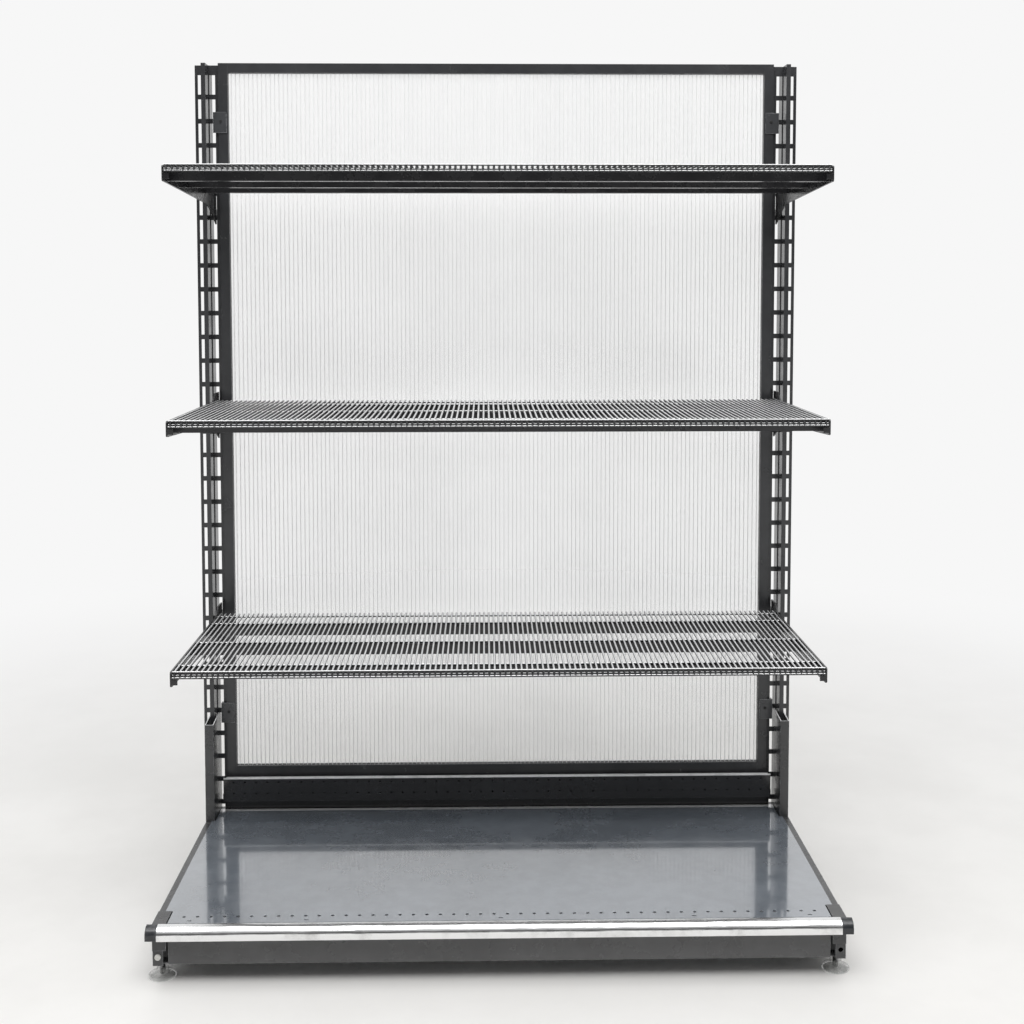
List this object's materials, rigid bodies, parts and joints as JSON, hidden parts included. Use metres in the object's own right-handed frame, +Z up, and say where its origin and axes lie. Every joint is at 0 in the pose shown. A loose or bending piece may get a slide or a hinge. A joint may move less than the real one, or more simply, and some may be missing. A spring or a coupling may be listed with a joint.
{
  "type": "retail shelving unit",
  "caption": "Free-standing wall shelving bay: slotted posts, framed translucent back panel, glossy base deck with polished bumper, and adjustable wire shelves on tapered brackets.",
  "frame": {"origin": "floor level, in the middle of the unit's width and depth", "axes": "+Z up, the open front faces -Y, +X to the right as seen from the front"},
  "size_m": [1.26, 0.584, 1.694],
  "materials": {
    "graphite_paint": "graphite grey stove enamel on steel, semi-gloss with fine orange peel",
    "wire_paint": "dark grey dip coating on steel wire, glossy",
    "deck_paint": "graphite grey stove enamel, high gloss",
    "twin_wall_sheet": "translucent white twin-wall polycarbonate with upright flutes",
    "chrome": "polished metal bumper",
    "zinc_steel": "zinc plated steel",
    "clear_plastic": "cloudy clear moulded plastic",
    "cap_plastic": "dark grey moulded plastic",
    "white_plastic": "white moulded plastic"
  },
  "bodies": {
    "frame": {"post_web_left": "graphite_paint", "slotted_strip_left_outer": "graphite_paint", "slotted_strip_left_inner": "graphite_paint", "panel_stile_left": "graphite_paint", "panel_clip_top_left": "graphite_paint", "panel_clip_bottom_left": "graphite_paint", "leg_channel_left": "graphite_paint", "leg_rail_left": "graphite_paint", "bumper_hanger_left": "graphite_paint", "bumper_cap_left": "cap_plastic", "post_web_right": "graphite_paint", "slotted_strip_right_outer": "graphite_paint", "slotted_strip_right_inner": "graphite_paint", "panel_stile_right": "graphite_paint", "panel_clip_top_right": "graphite_paint", "panel_clip_bottom_right": "graphite_paint", "leg_channel_right": "graphite_paint", "leg_rail_right": "graphite_paint", "bumper_hanger_right": "graphite_paint", "bumper_cap_right": "cap_plastic", "panel_rail_top": "graphite_paint", "panel_rail_bottom": "graphite_paint", "lower_back_panel": "graphite_paint", "rear_stretcher": "graphite_paint", "polycarbonate_sheet": "twin_wall_sheet", "panel_clip_screws": "zinc_steel", "leg_hole_plug": "white_plastic", "bumper_bar": "chrome", "foot_nuts": "zinc_steel"},
    "deck": {"deck": "deck_paint"},
    "plinth": {"plinth": "graphite_paint"},
    "top_shelf_frame": {"top_shelf_bar_front": "graphite_paint", "top_shelf_bar_centre": "graphite_paint", "top_shelf_bar_rear": "graphite_paint", "top_shelf_bracket_left": "graphite_paint", "top_shelf_bracket_right": "graphite_paint"},
    "top_shelf_grid": {"top_shelf_wire_grid": "wire_paint"},
    "middle_shelf_frame": {"middle_shelf_bar_front": "graphite_paint", "middle_shelf_bar_centre": "graphite_paint", "middle_shelf_bar_rear": "graphite_paint", "middle_shelf_bracket_left": "graphite_paint", "middle_shelf_bracket_right": "graphite_paint"},
    "middle_shelf_grid": {"middle_shelf_wire_grid": "wire_paint"},
    "bottom_shelf_frame": {"bottom_shelf_bar_front": "graphite_paint", "bottom_shelf_bar_centre": "graphite_paint", "bottom_shelf_bar_rear": "graphite_paint", "bottom_shelf_bracket_left": "graphite_paint", "bottom_shelf_bracket_right": "graphite_paint"},
    "bottom_shelf_grid": {"bottom_shelf_wire_grid": "wire_paint"},
    "foot_front_left": {"foot_pad_front_left": "clear_plastic", "foot_stem_front_left": "zinc_steel"},
    "foot_front_right": {"foot_pad_front_right": "clear_plastic", "foot_stem_front_right": "zinc_steel"},
    "foot_rear_left": {"foot_pad_rear_left": "clear_plastic", "foot_stem_rear_left": "zinc_steel"},
    "foot_rear_right": {"foot_pad_rear_right": "clear_plastic", "foot_stem_rear_right": "zinc_steel"}
  },
  "joints": [
    {"name": "deck_lift", "type": "slide", "parent": "frame", "child": "deck", "axis": [0, 0, 1], "range_m": [0, 0.02]},
    {"name": "plinth_pull", "type": "slide", "parent": "frame", "child": "plinth", "axis": [0, -1, 0], "range_m": [0, 0.12]},
    {"name": "top_shelf_unhook", "type": "slide", "parent": "frame", "child": "top_shelf_frame", "axis": [0, 0, 1], "range_m": [0, 0.012]},
    {"name": "top_grid_lift", "type": "slide", "parent": "top_shelf_frame", "child": "top_shelf_grid", "axis": [0, 0, 1], "range_m": [0, 0.05]},
    {"name": "middle_shelf_unhook", "type": "slide", "parent": "frame", "child": "middle_shelf_frame", "axis": [0, 0, 1], "range_m": [0, 0.012]},
    {"name": "middle_grid_lift", "type": "slide", "parent": "middle_shelf_frame", "child": "middle_shelf_grid", "axis": [0, 0, 1], "range_m": [0, 0.05]},
    {"name": "bottom_shelf_unhook", "type": "slide", "parent": "frame", "child": "bottom_shelf_frame", "axis": [0, 0, 1], "range_m": [0, 0.012]},
    {"name": "bottom_grid_lift", "type": "slide", "parent": "bottom_shelf_frame", "child": "bottom_shelf_grid", "axis": [0, 0, 1], "range_m": [0, 0.05]},
    {"name": "foot_front_left_level", "type": "slide", "parent": "frame", "child": "foot_front_left", "axis": [0, 0, 1], "range_m": [-0.025, 0]},
    {"name": "foot_front_right_level", "type": "slide", "parent": "frame", "child": "foot_front_right", "axis": [0, 0, 1], "range_m": [-0.025, 0]},
    {"name": "foot_rear_left_level", "type": "slide", "parent": "frame", "child": "foot_rear_left", "axis": [0, 0, 1], "range_m": [-0.025, 0]},
    {"name": "foot_rear_right_level", "type": "slide", "parent": "frame", "child": "foot_rear_right", "axis": [0, 0, 1], "range_m": [-0.025, 0]}
  ]
}
